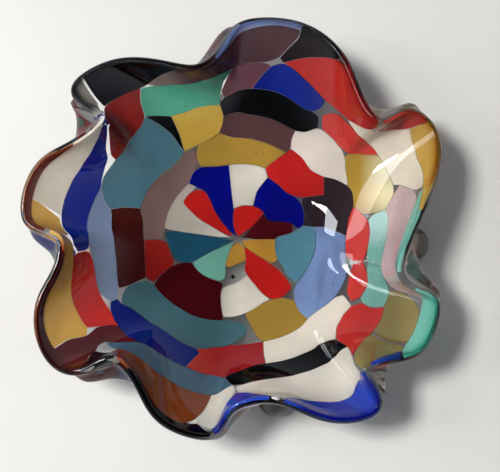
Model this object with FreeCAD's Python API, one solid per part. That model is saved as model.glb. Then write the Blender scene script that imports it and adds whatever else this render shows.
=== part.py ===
import FreeCAD, Part
import math
import os

# Ruffled patchwork glass bowl.  Millimetres and degrees, +Z up.
# The bowl is first thought of as a flat disc, the pattern disc, on which every tile has its outline.
# The disc is then slumped: its middle stays flat, its wall rises along an arc and its edge follows
# the ruffled lip.  Each glass layer is that same slumped disc, moved along its own normal.

# ---------------------------------------------------------------- driving dimensions
FLAT_RADIUS = 50.0          # flat middle of the bowl
WALL_ARC_RADIUS = 136.0     # radius of the arc that the wall follows
WALL_ARC_ANGLE = 60.0       # slope of the wall where it meets the lip
FLOOR_HEIGHT = 22.0         # height of the tile bed at the centre, above the table
RUFFLE_START = 0.34         # share of the way from centre to lip where the ruffle begins
RUFFLE_POWER = 2.0

LIP_RADIUS = 3.2            # half the thickness of the glass at the lip
LIP_OVERHANG = 2.2          # how far the rounded clear lip stands past the tiles
LINING_THICKNESS = 1.15
TILE_THICKNESS = 2.0
LAYER_GAP = 0.1             # hairline between two layers
TILE_GAP = 0.4              # clear glass between two tiles
CASING_BASE_THICKNESS = 8.0
CASING_WALL_THICKNESS = 5.0
CASING_BASE_SHARE = 0.3     # the casing has its base thickness up to here, of the way to the lip,
CASING_WALL_SHARE = 0.6     # and has thinned to its wall thickness here
LIP_TAPER_SHARE = 0.2       # last share of the way, where the casing thins to the lip

# Clear glass that fills the outside of each notch: direction, how far it stands out, half width
BULGES = (
    (36.4, 32.0, 10.5),
    (92.9, 27.0, 10.2),
    (143.4, 36.0, 9.6),
    (184.1, 21.0, 10.4),
    (228.4, 24.0, 10.4),
    (264.6, 17.5, 10.4),
    (312.0, 34.0, 7.3),
    (346.0, 30.0, 10.6),
)
BULGE_CENTRE = 0.87         # share of the way from centre to lip
BULGE_REACH = 0.30

HUB_RADIUS = 20.0           # the layers are plain discs inside this radius
RING_SAMPLES = 240
WALL_SPANS = 26
DISC_SPANS = 60
DISC_HALF_SIDE = 195.0
SAMPLE_STEP = 5.0           # longest stretch between two poles of a tile's outline
CORNER_TURN = 45.0          # an outline turns at least this much at a real corner
CORNER_CUT = 1.3            # how far from a corner its extra poles stand
CORNER_CUT_SHARE = 0.4      # and the most of a short side that they may use
SHARPEST_CORNER = 0.35      # keeps the inset of a very sharp corner short
PATCH_MARGIN = 2.0          # surface kept around a tile's outline
LIP_SPANS = 6
EDGE_STEP = 0.005           # share over which a layer's slope at the lip is taken
POLE_PASSES = 40            # sweeps until the poles of a closed spline have settled
SEW_TOLERANCE = 0.002

# Feet: direction, and how far from the middle the ball of the toe stands
FEET = {"foot_east": (359.0, 160.0), "foot_north": (105.0, 150.0),
        "foot_west": (188.0, 150.0), "foot_south": (283.0, 147.0)}
FOOT_BALL_RADIUS = 16.0
FOOT_BALL_HEIGHT = 14.5
FOOT_ROOT_RADIUS = 20.0
FOOT_ROOT_HEIGHT = 50.0
FOOT_SPLAY = 34.0           # the root sits this much nearer the middle than the ball
TABLE_HALF_SIDE = 200.0     # block under the table plane that cuts the pads flat
TABLE_DEPTH = 40.0

# Middle of the lip bead, counter-clockwise: direction, radius, height.  A lobe is a notch, a long
# gentle side, a shoulder, a crown, a tip and the short steep side that hangs over the next notch.
LOBES = (
    ((343, 143, 97), (354, 143, 95), (8, 161, 91), (19, 182, 86), (29, 191, 82), (35, 180, 86)),
    ((37, 152, 95), (46, 154, 93), (58, 175, 89), (70, 189, 85), (80, 190, 82), (90, 181, 83), (95, 159, 90)),
    ((104, 143, 96), (113, 154, 94), (123, 176, 89), (132, 189, 84), (139, 190, 82), (141, 172, 87)),
    ((141, 151, 96), (152, 157, 94), (161, 177, 89), (170, 185, 84), (178, 181, 82), (181, 166, 88)),
    ((185, 150, 96), (193, 156, 94), (200, 176, 89), (208, 190, 84), (218, 191, 82), (223, 177, 87)),
    ((227, 152, 96), (236, 153, 94), (246, 170, 90), (257, 177, 85), (264, 173, 83), (267, 156, 89)),
    ((272, 147, 96), (282, 148, 94), (291, 166, 90), (299, 184, 85), (308, 190, 82), (310, 177, 87)),
    ((311, 160, 95), (318, 168, 93), (325, 183, 88), (334, 184, 84), (340, 178, 82), (341, 160, 89)),
)

# Tiles, by node: outlines on the pattern disc, corner by corner as direction and radius.
TILES = {
    # pinwheel
    "white_wedges": [[(98, 28), (97, 70), (83, 71), (69, 71), (64.5, 64), (69, 47), (66, 34), (80, 32),
         (92, 30)],
        [(164, 5), (174, 14), (173, 36), (172.5, 60), (172, 68), (162, 69), (152, 69), (142, 69),
         (131, 69), (128, 62), (133, 61.5), (140, 62), (146, 61), (152, 41), (154, 25), (158, 14)],
        [(275, 37), (284, 34), (290, 44), (294, 55), (298, 63), (291, 62.5), (282, 66), (275, 69),
         (266, 72), (259.5, 73), (255, 60), (252, 50), (255, 44), (265, 41)]],
    "blue_wedges": [[(125, 2.5), (112, 8), (105, 18), (98, 28), (97, 70), (107, 71), (117, 76),
         (124, 75), (131, 69), (128, 62), (124, 54), (125, 44), (130, 31), (135, 12)],
        [(66, 34), (69, 47), (64.5, 64), (54, 63), (44, 62), (37, 66), (29, 67), (20, 65), (12, 61),
         (10, 56), (16, 52), (22, 44), (26, 37), (34, 32), (46, 34), (54, 35)]],
    "red_wedges": [[(65, 2), (112, 8), (105, 18), (98, 28), (92, 30), (80, 32), (66, 34), (54, 35),
         (46, 34), (43, 24), (41, 14)],
        [(145, 5), (158, 14), (154, 25), (152, 41), (146, 61), (140, 62), (133, 61.5), (128, 59),
         (124, 54), (125, 44), (130, 31), (135, 12)],
        [(310, 8), (318, 18), (322, 30), (323, 46), (320, 60), (318, 66), (307, 67), (299, 63),
         (294, 55), (290, 44), (284, 34), (281, 28), (290, 21), (298, 14)]],
    "maroon_wedge_right": [[(20, 2.5), (41, 14), (43, 24), (46, 34), (34, 32), (26, 37), (22, 44),
         (16, 52), (7, 50), (4, 36), (0, 34), (0, 14)]],
    "ochre_wedges": [[(335, 2.5), (0, 14), (0, 34), (350, 34), (340, 36), (331, 41), (324, 38),
         (322, 30), (318, 18), (310, 8)],
        [(265, 2.5), (228, 8), (240, 18), (244, 27), (255, 27), (267, 23), (280, 22), (290, 21),
         (298, 14), (310, 8)]],
    "turquoise_wedge": [[(216, 3), (205, 14), (205, 25), (207, 47), (214, 47), (224, 46), (236, 44),
         (247, 42), (252, 38), (250, 32), (244, 27), (240, 18), (228, 8)]],
    "teal_wedges": [[(190, 3), (205, 14), (205, 25), (207, 47), (203, 55), (199, 60), (190, 62),
         (181, 65), (174, 67), (172.5, 60), (173, 36), (174, 14)],
        [(0, 34), (4, 36), (7, 50), (10, 56), (12, 61), (9, 71), (0, 72), (349, 71), (340, 69),
         (331, 68), (323, 67), (322, 60), (324, 53), (329, 48), (331, 41), (340, 36), (350, 34)]],
    # second ring
    "ochre_arc_top": [[(97, 70), (107, 71), (117, 76), (117, 83), (115, 91), (113, 95.5), (107, 98),
         (100, 103), (96, 98), (92, 95), (84, 94), (76, 93), (67, 92), (61, 92), (65, 81), (69, 71),
         (83, 71)]],
    "ochre_square_top": [[(113, 95.5), (121, 95), (118.5, 111), (117.5, 129.5), (111, 131), (106, 136),
         (102, 136), (98, 132), (97, 119), (98, 110), (100, 103), (107, 98)]],
    "mauve_arc_top": [[(100, 103), (98, 110), (97, 119), (90, 118), (85, 114.5), (75, 113.5),
         (68, 112.5), (62, 112.5), (62, 105), (60, 97), (61, 92), (67, 92), (76, 93), (84, 94), (92, 95),
         (96, 98)]],
    "black_patches_north": [[(97, 119), (98, 132), (96, 137), (90, 137), (83.5, 136.5), (75, 136),
         (69, 134), (63, 132.5), (59, 136), (56, 136), (54, 128), (57.5, 117), (62, 112.5), (68, 112.5),
         (75, 113.5), (85, 114.5), (90, 118)],
        [(117.5, 129.5), (118.5, 111), (121, 95), (121.5, 104), (121.5, 114), (123.5, 126), (126, 138),
         (120, 132)]],
    "white_patch_right": [[(60, 97), (62, 105), (62, 112.5), (57.5, 117), (54, 128), (52, 131),
         (46, 134), (42, 133.5), (38, 126.5), (32, 116), (25, 110), (31, 104), (36, 98), (44, 94),
         (52, 97)]],
    "red_bow": [[(64.5, 64), (69, 71), (65, 81), (61, 92), (60, 97), (52, 97), (44, 94), (36, 98),
         (31, 92), (27, 89), (30, 79), (33, 71), (37, 66), (44, 62), (54, 63)]],
    "aubergine_patch": [[(36, 98), (31, 104), (25, 110), (21, 112), (15, 110), (10, 104), (1, 101),
         (4, 91), (8, 80), (9, 71), (12, 61), (20, 65), (29, 67), (33, 71), (30, 79), (27, 89), (31, 92)]],
    "periwinkle_arc_right": [[(9, 71), (8, 80), (4, 91), (1, 101), (357, 101), (351, 103), (344, 105),
         (336, 104), (328, 102.5), (318, 99.5), (310.5, 98), (309.5, 87), (312, 76), (317, 69),
         (323, 67), (331, 68), (340, 69), (349, 71), (0, 72)]],
    "ochre_square_bottom": [[(275, 69), (282, 66), (291, 62.5), (299, 63), (307, 67), (312, 76),
         (309.5, 87), (310.5, 98), (300, 98), (292, 98.5), (283, 99), (280, 92), (279, 84), (277, 76)]],
    "white_arc_bottom": [[(283, 99), (292, 98.5), (300, 98), (310.5, 98), (318, 99.5), (328, 102.5),
         (331, 108), (328.5, 119), (323, 118.5), (317, 124.5), (313.5, 135), (311, 128.5), (306, 120.5),
         (298, 119.5), (291, 121), (281, 124.5), (281.5, 112)]],
    "maroon_patch_bottom": [[(203, 55), (207, 47), (214, 47), (224, 46), (236, 44), (247, 42), (252, 44),
         (252, 50), (255, 60), (259.5, 73), (259, 76), (249, 79), (239, 82), (226, 84), (215, 86),
         (209, 87), (206, 80), (204, 72), (202, 63)]],
    "teal_arc_bottom": [[(209, 87), (215, 86), (226, 84), (239, 82), (249, 79), (259, 76), (266, 75),
         (272, 77), (276, 81), (275, 88), (271, 94), (266, 99), (258, 102), (250, 108.5), (243, 111),
         (235, 112.5), (227, 112), (220, 111), (214, 114), (211, 119), (208, 117), (204.5, 110),
         (204, 100), (205, 92)]],
    "red_patch_left": [[(181, 86), (180.5, 78), (180.5, 69), (184, 64), (193, 63), (199, 61), (202, 63),
         (204, 72), (206, 80), (208, 86), (203.5, 91), (196, 88.5), (188, 87)]],
    "mauve_band_left": [[(115, 91), (117, 83), (117, 76), (124, 75), (131, 69), (142, 69), (152, 69),
         (162, 69), (172, 68), (180.5, 69), (180.5, 78), (181, 86), (170, 88), (163, 94), (155, 95.5),
         (149, 96), (142, 94), (133, 90), (126, 91.5), (121, 95)]],
    # third ring
    "teal_patch_left": [[(126, 91.5), (121, 95), (121.5, 104), (121.5, 114), (123.5, 126), (126, 138),
         (129, 133), (134, 131), (140, 135.5), (145, 141.5), (150, 143), (157, 139), (161, 134),
         (165, 126), (168, 118.5), (165, 107), (163, 94), (155, 95.5), (149, 96), (142, 94), (133, 90)]],
    "maroon_patch_left": [[(168, 118.5), (165, 107), (163, 94), (170, 88), (181, 86), (188, 87),
         (196, 88.5), (203.5, 91), (204, 100), (204.5, 110), (204, 117), (197, 117), (188, 118),
         (180, 114), (170, 116)]],
    "periwinkle_arc_left": [[(161, 134), (165, 126), (168, 118.5), (170, 116), (180, 114), (188, 118),
         (197, 117), (204, 117), (208, 121), (208, 127), (204, 134.5), (195, 141), (190, 147),
         (187, 148), (181, 138.5), (175, 136.5), (168, 134.5)]],
    "blue_arc_bottom": [[(208, 121), (211, 119), (214, 114), (220, 111), (227, 112), (235, 112.5),
         (243, 111), (250, 108.5), (252, 111), (250, 120), (249, 129), (244, 132), (237, 138),
         (231, 141), (227, 137), (219, 132), (211, 130), (208, 127)]],
    "red_arc_bottom": [[(252, 111), (250, 108.5), (258, 102), (266, 99), (273, 100), (280, 99),
         (283, 99), (281.5, 112), (281, 124.5), (277, 126), (271, 132), (265, 133), (261, 128.5),
         (255, 129), (249, 129), (250, 120)]],
    "black_arc_bottom": [[(265, 133), (271, 132), (277, 126), (281, 124.5), (291, 121), (298, 119.5),
         (306, 120.5), (311, 128.5), (313.5, 135), (314.5, 152), (311, 146), (306, 138), (300, 135.5),
         (292, 137.5), (285, 142.5), (279, 148.5), (273, 153), (269, 149), (267, 141)]],
    "maroon_patch_upper": [[(121, 163), (124, 151), (126, 138), (129, 133), (134, 131), (140, 135.5),
         (145, 141.5), (150, 143), (150, 151), (148, 162), (145.5, 176), (141, 166), (136, 161),
         (133, 164), (129, 163), (125, 163)]],
    "turquoise_arc_top": [[(121, 163), (124, 151), (126, 138), (120, 132), (117.5, 129.5), (111, 131),
         (106, 136), (102, 136), (98, 132), (97.5, 145), (96, 156), (92, 161), (98, 168.5), (102.5, 172),
         (109, 166), (115.5, 163)]],
    "blue_patch_top": [[(83.5, 136.5), (81, 146), (78, 156), (74.5, 160), (72, 158.5), (67, 154.5),
         (61, 152), (57, 152), (57, 144), (59, 136), (63, 132.5), (69, 134), (75, 136)]],
    "red_patch_right": [[(52, 131), (55, 140), (53, 149), (49.5, 157), (44, 161), (40, 158), (35, 148),
         (29, 144.5), (32, 137), (38, 132), (42, 133.5), (46, 134)]],
    "rose_patches": [[(96, 137), (97, 146), (94, 157), (92, 161), (87, 158), (80, 158), (78, 156),
         (81, 146), (83.5, 136.5), (90, 137)],
        [(14, 164), (12, 174), (9, 181), (2, 181), (355, 182), (348, 183), (343, 185), (339.5, 180),
         (340, 168), (341, 155), (346, 150), (354, 152.5), (2, 150), (9, 143), (14, 150), (16, 156)]],
    "streaked_patch_right": [[(38, 132), (38, 126.5), (32, 116), (25, 110), (21, 112), (15, 110),
         (10, 118), (9, 131), (9, 143), (14, 150), (17, 149), (23, 145), (29, 144.5), (32, 137)]],
    "red_patches_east": [[(15, 110), (10, 118), (7, 124), (1, 128), (354, 128), (350, 124), (349, 112),
         (351, 103), (357, 101), (1, 101), (10, 104)],
        [(348, 112), (350, 124), (346, 128), (338, 125), (333, 122.5), (330, 117), (333, 109), (341, 107)]],
    "turquoise_patches_east": [[(7, 124), (9, 131), (9, 143), (2, 150), (354, 152.5), (350, 151),
         (350, 131), (354, 128), (1, 128)],
        [(350, 131), (350, 151), (346, 150), (339, 146), (333, 145), (331, 135), (331.5, 126),
         (333, 122.5), (338, 125), (346, 128)]],
    "red_patch_south_east": [[(328.5, 119), (331.5, 126), (331, 135), (333, 145), (330, 147), (324, 149),
         (319, 153.5), (315.5, 161), (313.5, 165), (314.5, 152), (313.5, 135), (317, 124.5), (323, 118.5)]],
    "teal_arc_outer": [[(220, 149), (225, 144.5), (231, 141), (237, 138), (244, 132), (249, 129),
         (255, 129), (261, 128.5), (265, 133), (267, 141), (269, 149), (264, 147), (260, 148.5),
         (252, 149), (245, 152), (239, 160), (234, 164.5), (230.5, 162.5), (227, 157), (223, 152.5)]],
    # lobes and rim strips
    "mauve_lobe_north": [[(98, 192.2), (98, 180), (98, 168.5), (92, 161), (87, 158), (80, 158),
         (76, 163), (74, 173), (72, 182), (72, 188.5), (78, 189), (85, 186.5), (92, 187)],
        [(107.5, 192.2), (110, 184), (115, 172), (118.5, 165), (115.5, 163), (109, 166), (102.5, 172),
         (98, 168.5), (98, 180), (98, 192.2)]],
    "steel_rim_north": [[(98, 192.2), (92, 187), (85, 186.5), (78, 189), (72, 188.5), (72, 192.2),
         (80, 192.2), (90, 192.2)]],
    "dark_lobe_north": [[(74.5, 160), (76, 163), (74, 173), (72, 182), (72, 192.2), (65, 192.2),
         (60, 192.2), (60, 188), (65, 177), (70.5, 166.5)]],
    "red_lobe_north_east": [[(74.5, 160), (70.5, 166.5), (65, 177), (60, 188), (57, 192.2), (50, 192.2),
         (42, 192.2), (40.5, 184), (41, 176), (44.5, 169), (47, 162.5), (51, 157.5), (57, 152),
         (61, 152), (67, 154.5), (72, 158.5)],
        [(40.5, 192.2), (34, 192.2), (28, 192.2), (29.5, 178), (31, 172.5), (34, 167.5), (38, 170),
         (40, 178), (39.5, 184)]],
    "white_lobe_east": [[(47, 162.5), (44.5, 169), (41, 176), (38, 170), (34, 167.5), (31, 172.5),
         (29.5, 178), (26.5, 173), (21, 173), (16.5, 179.5), (12, 184), (12, 174), (14, 164), (16, 156),
         (17, 149), (23, 145), (29, 144.5), (35, 148), (40, 158), (44, 161)]],
    "ochre_rim_east": [[(28, 192.2), (29.5, 178), (26.5, 173), (21, 173), (16.5, 179.5), (12, 184),
         (8, 187.5), (5, 192.2), (15, 192.2), (22, 192.2)]],
    "turquoise_lobe_south_east": [[(345, 192.2), (343, 185), (339.5, 180), (335, 177.5), (330, 178.5),
         (326, 179.5), (323, 185), (321.5, 192.2), (328, 192.2), (336, 192.2)],
        [(12, 184), (9, 181), (2, 181), (355, 182), (350, 192.2), (358, 192.2), (4, 192.2), (8, 187.5)]],
    "olive_lobe_south_east": [[(333, 145), (339, 146), (340, 156), (338, 168), (335, 177.5),
         (330, 178.5), (326, 179.5), (324, 170), (323, 160), (324, 149), (330, 147)],
        [(322.5, 150), (322, 160), (323, 170), (324.5, 180), (323, 185), (318, 187), (313.5, 192.2),
         (312.5, 180), (313.5, 170), (315.5, 161), (319, 153.5)]],
    "white_lobe_south": [[(270, 155), (273, 153), (279, 148.5), (285, 142.5), (292, 137.5), (300, 135.5),
         (306, 138), (311, 146), (314.5, 152), (313.5, 165), (312, 175), (312, 186), (309, 179),
         (307, 171), (304, 167.5), (301, 171), (297, 173), (292, 171.5), (286, 174.5), (282, 182.5),
         (279.5, 190), (276, 182), (274, 172), (271, 166)],
        [(260, 148.5), (264, 147), (269, 149), (270, 155), (270, 163), (268, 174), (265, 184),
         (261, 187), (257, 180), (258.5, 165)]],
    "blue_rims_south": [[(281, 192.2), (282, 182.5), (286, 174.5), (292, 171.5), (297, 173), (301, 171),
         (304, 167.5), (307, 171), (309, 179), (312, 186), (312.5, 192.2), (305, 192.2), (297, 192.2),
         (289, 192.2)],
        [(262, 192.2), (261, 187), (265, 184), (268, 174), (270.5, 166), (273.5, 172), (275, 182),
         (278, 192.2), (270, 192.2)],
        [(321, 192.2), (322.5, 186), (319, 187.5), (315, 192.2)]],
    "brown_lobes": [[(227, 157), (230.5, 162.5), (234, 164.5), (239, 160), (245, 152),
         (252, 149), (260, 148.5), (258.5, 165), (256.5, 178), (254, 185), (247, 186.5), (240, 188),
         (235, 192.2), (232, 187), (230, 174), (226, 163)],
        [(154, 192.2), (159, 188), (165, 187), (171.5, 186), (176, 186.5), (181.5, 188), (183, 192.2),
         (175, 192.2), (165, 192.2), (159, 192.2)]],
    "black_rims": [[(261, 192.2), (257.5, 180.5), (254, 185.5), (247, 187), (240, 188.5), (236, 192.2),
         (248, 192.2)],
        [(221, 162), (226, 163), (230, 174), (232, 187), (231, 192.2), (224, 192.2), (222.5, 178),
         (221, 169)],
        [(107.5, 192.2), (110, 184), (115, 172), (118.5, 165), (121, 163), (125, 163), (129, 163),
         (133, 164), (132.5, 173), (131.5, 183), (130.5, 192.2), (123, 192.2), (115, 192.2)]],
    "maroon_lobe_west": [[(217.5, 131.5), (219, 132), (227, 137), (231, 141), (225, 144.5), (220, 149),
         (219.5, 155), (221, 162), (221, 169), (219, 173), (217, 180), (214, 185), (213.5, 171),
         (215, 157), (214, 146), (215.5, 137)],
        [(219, 173), (221, 169), (222.5, 178), (224, 192.2), (216, 192.2), (208, 192.2), (199, 192.2),
         (190, 192.2), (193, 188.5), (200, 188), (208, 187.5), (214, 185), (217, 180)]],
    "ochre_lobe_west": [[(183.5, 188), (184, 178), (187, 173), (191, 174), (199, 165), (207, 157.5),
         (213, 153), (215, 157), (213.5, 171), (214, 185), (208, 187.5), (200, 188), (193, 188.5),
         (188, 192.2)],
        [(171.5, 186), (172, 178), (173.5, 168), (175, 160.5), (179, 161), (183, 164), (184.5, 172),
         (183, 180), (181.5, 188), (176, 186.5)]],
    "red_lobe_west": [[(191, 174), (189.5, 166), (188.5, 153), (190, 147), (195, 141), (204, 134.5),
         (211, 130), (217.5, 131.5), (215.5, 137), (214, 146), (213, 153), (207, 157.5), (199, 165)]],
    "blue_band_west": [[(147, 188), (145.8, 181), (149.5, 163), (151, 151), (155, 143), (161, 134),
         (168, 134.5), (175, 136.5), (181, 138.5), (187, 148), (188.5, 153), (189.5, 166), (187.5, 171),
         (183, 162), (176, 159), (166, 158.5), (159, 161.5), (153, 170), (149, 182)],
        [(134.5, 165), (136, 161), (141, 166), (145.5, 178), (146.5, 189), (144, 187), (142.5, 179),
         (139.5, 171), (136.5, 166)]],
    "white_lobe_west": [[(147, 192.2), (149, 182), (153, 170), (159, 161.5), (166, 158.5), (174, 159.5),
         (173, 168), (172, 178), (171.5, 186), (165, 187), (159, 188), (154, 192.2)],
        [(131, 192.2), (132, 183), (133.5, 170), (136.5, 166), (139.5, 171), (142.5, 179), (144, 187),
         (143, 192.2), (137, 192.2)]],
}


# ---------------------------------------------------------------- small helpers
def polar(direction, radius):
    angle = math.radians(direction)
    return radius * math.cos(angle), radius * math.sin(angle)


class ClosedSpline:
    """Closed cubic spline through points in space, with 360 degrees shared out along its length."""

    def __init__(self, points):
        self.points = points
        count = len(points)
        lengths = [math.dist(points[i], points[(i + 1) % count]) for i in range(count)]
        scale = 360.0 / sum(lengths)
        self.steps = [length * scale for length in lengths]
        self.starts = [sum(self.steps[:i]) for i in range(count)]
        self.slopes = [self.solve_slopes([point[axis] for point in points]) for axis in range(3)]
        self.turn = 0.0
        self.turn = self.mean_lead()

    def solve_slopes(self, values):
        count = len(values)
        slopes = [0.0] * count
        for _ in range(60):
            for i in range(count):
                before = self.steps[i - 1]
                after = self.steps[i]
                rise_before = (values[i] - values[i - 1]) / before
                rise_after = (values[(i + 1) % count] - values[i]) / after
                target = 3 * (after * rise_before + before * rise_after)
                pull = after * slopes[i - 1] + before * slopes[(i + 1) % count]
                slopes[i] = (target - pull) / (2 * (before + after))
        return slopes

    def mean_lead(self):
        """Mean angle by which the lip runs ahead of the same share of its length."""
        total = 0.0
        for direction in range(360):
            x, y, _ = self(direction)
            ahead = math.degrees(math.atan2(y, x)) - direction
            total += (ahead + 180.0) % 360.0 - 180.0
        return total / 360.0

    def __call__(self, direction):
        place = (direction - self.turn) % 360.0
        i = max(k for k, start in enumerate(self.starts) if start <= place)
        j = (i + 1) % len(self.points)
        step = self.steps[i]
        t = (place - self.starts[i]) / step
        weights = ((1 + 2 * t) * (1 - t) ** 2, t * (1 - t) ** 2 * step,
                   t * t * (3 - 2 * t), t * t * (t - 1) * step)
        return [weights[0] * self.points[i][axis] + weights[1] * self.slopes[axis][i]
                + weights[2] * self.points[j][axis] + weights[3] * self.slopes[axis][j] for axis in range(3)]


# ---------------------------------------------------------------- the slumped disc
LIP = ClosedSpline([polar(direction, radius) + (height,)
                    for lobe in LOBES for direction, radius, height in lobe])
DISC_RADIUS = FLAT_RADIUS + WALL_ARC_RADIUS * math.radians(WALL_ARC_ANGLE)


def wall(share):
    """Radius and height of the plain body, before it is ruffled."""
    distance = share * DISC_RADIUS
    if distance <= FLAT_RADIUS:
        return distance, FLOOR_HEIGHT
    angle = (distance - FLAT_RADIUS) / WALL_ARC_RADIUS
    return (FLAT_RADIUS + WALL_ARC_RADIUS * math.sin(angle),
            FLOOR_HEIGHT + WALL_ARC_RADIUS * (1 - math.cos(angle)))


WALL_TOP_RADIUS, WALL_TOP_HEIGHT = wall(1.0)


def bed(direction, share, lip_point):
    radius, height = wall(share)
    angle = math.radians(direction)
    ruffle = max(0.0, (share - RUFFLE_START) / (1 - RUFFLE_START)) ** RUFFLE_POWER
    return (radius * math.cos(angle) + ruffle * (lip_point[0] - WALL_TOP_RADIUS * math.cos(angle)),
            radius * math.sin(angle) + ruffle * (lip_point[1] - WALL_TOP_RADIUS * math.sin(angle)),
            height + ruffle * (lip_point[2] - WALL_TOP_HEIGHT))


def frame_at(direction, share):
    """Point of the tile bed, the normal into the bowl and the tangent towards the lip."""
    nudge = 0.001
    turn = 0.05
    share = min(max(share, 2 * nudge), 1.0)
    here = LIP(direction)
    point = FreeCAD.Vector(*bed(direction, share, here))
    along = FreeCAD.Vector(*bed(direction + turn, share, LIP(direction + turn)))
    along -= FreeCAD.Vector(*bed(direction - turn, share, LIP(direction - turn)))
    outward = FreeCAD.Vector(*bed(direction, share + nudge, here))
    outward -= FreeCAD.Vector(*bed(direction, share - nudge, here))
    normal = outward.cross(along)
    normal.normalize()
    across = along.cross(normal)
    across.normalize()
    return point, normal, across


def layer_point(direction, share, height):
    """Point at a height above the tile bed; past the lip the layer carries on straight."""
    if share <= 1.0:
        point, normal, _ = frame_at(direction, share)
        return point + normal * height
    near = layer_point(direction, 1.0 - EDGE_STEP, height)
    edge = layer_point(direction, 1.0, height)
    return edge + (edge - near) * ((share - 1.0) / EDGE_STEP)


def outer_point(direction, share):
    """Point of the outside of the bowl, with the clear bulge in each notch."""
    fall = min(1.0, (1.0 - share) / LIP_TAPER_SHARE)
    depth = LIP_RADIUS + (CASING_WALL_THICKNESS - LIP_RADIUS) * fall
    low = (CASING_WALL_SHARE - share) / (CASING_WALL_SHARE - CASING_BASE_SHARE)
    low = min(1.0, max(0.0, low))
    depth += (CASING_BASE_THICKNESS - CASING_WALL_THICKNESS) * low
    point, normal, _ = frame_at(direction, share)
    point = point - normal * depth
    near = (share - BULGE_CENTRE) / (BULGE_REACH if share < BULGE_CENTRE else 1.0 - BULGE_CENTRE)
    if abs(near) < 1.0:
        size = 0.0
        for notch, reach, half_width in BULGES:
            away = ((direction - notch + 180.0) % 360.0 - 180.0) / half_width
            size += reach * math.exp(-away * away)
        size *= (1.0 - near * near) ** 2
        flat = FreeCAD.Vector(point.x, point.y, 0.0)
        flat.normalize()
        point = point + flat * size
    return point


# ---------------------------------------------------------------- spline surfaces
def cubic_basis(knots, degree, count, value):
    """Values of all B-splines of a knot list at one place."""
    basis = [1.0 if knots[i] <= value < knots[i + 1] else 0.0 for i in range(len(knots) - 1)]
    if value >= knots[-1]:
        basis[count - 1] = 1.0
    for order in range(1, degree + 1):
        for i in range(len(basis) - order):
            left = knots[i + order] - knots[i]
            right = knots[i + order + 1] - knots[i + 1]
            rising = (value - knots[i]) / left * basis[i] if left else 0.0
            falling = (knots[i + order + 1] - value) / right * basis[i + 1] if right else 0.0
            basis[i] = rising + falling
    return basis[:count]


def inverse(matrix):
    size = len(matrix)
    rows = [list(row) + [1.0 if i == j else 0.0 for j in range(size)] for i, row in enumerate(matrix)]
    for i in range(size):
        pivot = max(range(i, size), key=lambda k: abs(rows[k][i]))
        rows[i], rows[pivot] = rows[pivot], rows[i]
        scale = rows[i][i]
        rows[i] = [value / scale for value in rows[i]]
        for k in range(size):
            factor = rows[k][i]
            if k != i and factor:
                rows[k] = [a - factor * b for a, b in zip(rows[k], rows[i])]
    return [row[size:] for row in rows]


class Fit:
    """Poles of a clamped cubic spline through values at its own sample places."""

    def __init__(self, low, high, spans):
        step = (high - low) / spans
        self.knots = [low + step * i for i in range(spans + 1)]
        full = [low] * 3 + self.knots + [high] * 3
        self.count = spans + 3
        self.places = [sum(full[i + 1:i + 4]) / 3 for i in range(self.count)]
        self.solver = inverse([cubic_basis(full, 3, self.count, place) for place in self.places])
        self.solver = [[(j, value) for j, value in enumerate(row) if abs(value) > 1e-9]
                       for row in self.solver]

    def poles(self, points):
        return [sum((points[j] * value for j, value in row), FreeCAD.Vector()) for row in self.solver]

    def multiplicities(self):
        return [4] + [1] * (len(self.knots) - 2) + [4]


def disc_surface(height):
    """One layer over the whole pattern disc, with pattern x and y as its parameters."""
    fit = Fit(-DISC_HALF_SIDE, DISC_HALF_SIDE, DISC_SPANS)
    grid = []
    for x in fit.places:
        column = []
        for y in fit.places:
            share = math.hypot(x, y) / DISC_RADIUS
            column.append(layer_point(math.degrees(math.atan2(y, x)), share, height))
        grid.append(fit.poles(column))
    columns = [fit.poles([grid[i][j] for i in range(fit.count)]) for j in range(fit.count)]
    poles = [[columns[j][i] for j in range(fit.count)] for i in range(fit.count)]
    surface = Part.BSplineSurface()
    mults = fit.multiplicities()
    surface.buildFromPolesMultsKnots(poles, mults, mults, fit.knots, fit.knots, False, False, 3, 3)
    return surface


def closed_poles(points):
    """Poles of a closed even cubic spline through points."""
    count = len(points)
    poles = list(points)
    for _ in range(POLE_PASSES):
        for i in range(count):
            poles[i] = (points[i] * 6 - poles[i - 1] - poles[(i + 1) % count]) * 0.25
    return poles


def ring_surface(point_at, spans):
    """Closed band: point_at(direction, t) for t from 0 to 1."""
    degree = 3 if spans > 1 else 1
    fit = Fit(0.0, 1.0, spans) if degree == 3 else None
    places = fit.places if fit else [0.0, 1.0]
    directions = [360.0 * i / RING_SAMPLES for i in range(RING_SAMPLES)]
    rings = [closed_poles([point_at(direction, t) for direction in directions]) for t in places]
    poles = []
    for i in range(RING_SAMPLES):
        line = [ring[i] for ring in rings]
        poles.append(fit.poles(line) if fit else line)
    knots = [float(i) for i in range(RING_SAMPLES + 1)]
    mults = [1] * (RING_SAMPLES + 1)
    across_knots = fit.knots if fit else [0.0, 1.0]
    across_mults = fit.multiplicities() if fit else [2, 2]
    surface = Part.BSplineSurface()
    surface.buildFromPolesMultsKnots(poles, mults, across_mults, knots, across_knots, True, False, 3, degree)
    return surface


def cap(point_at):
    """Flat disc that closes a layer inside the hub."""
    surface = ring_surface(lambda direction, t: point_at(direction), 1)
    edge = surface.vIso(0.0).toShape()
    return Part.Face(Part.Wire([edge]))


def closed_solid(faces):
    shell = Part.Compound(faces)
    shell = shell.copy()
    shell.sewShape(SEW_TOLERANCE)
    solid = Part.Solid(shell.Shells[0])
    if solid.Volume < 0:
        solid.reverse()
    return solid


# ---------------------------------------------------------------- lining and casing
HUB_SHARE = HUB_RADIUS / DISC_RADIUS


def between(low, high, t):
    return low + (high - low) * t


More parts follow.
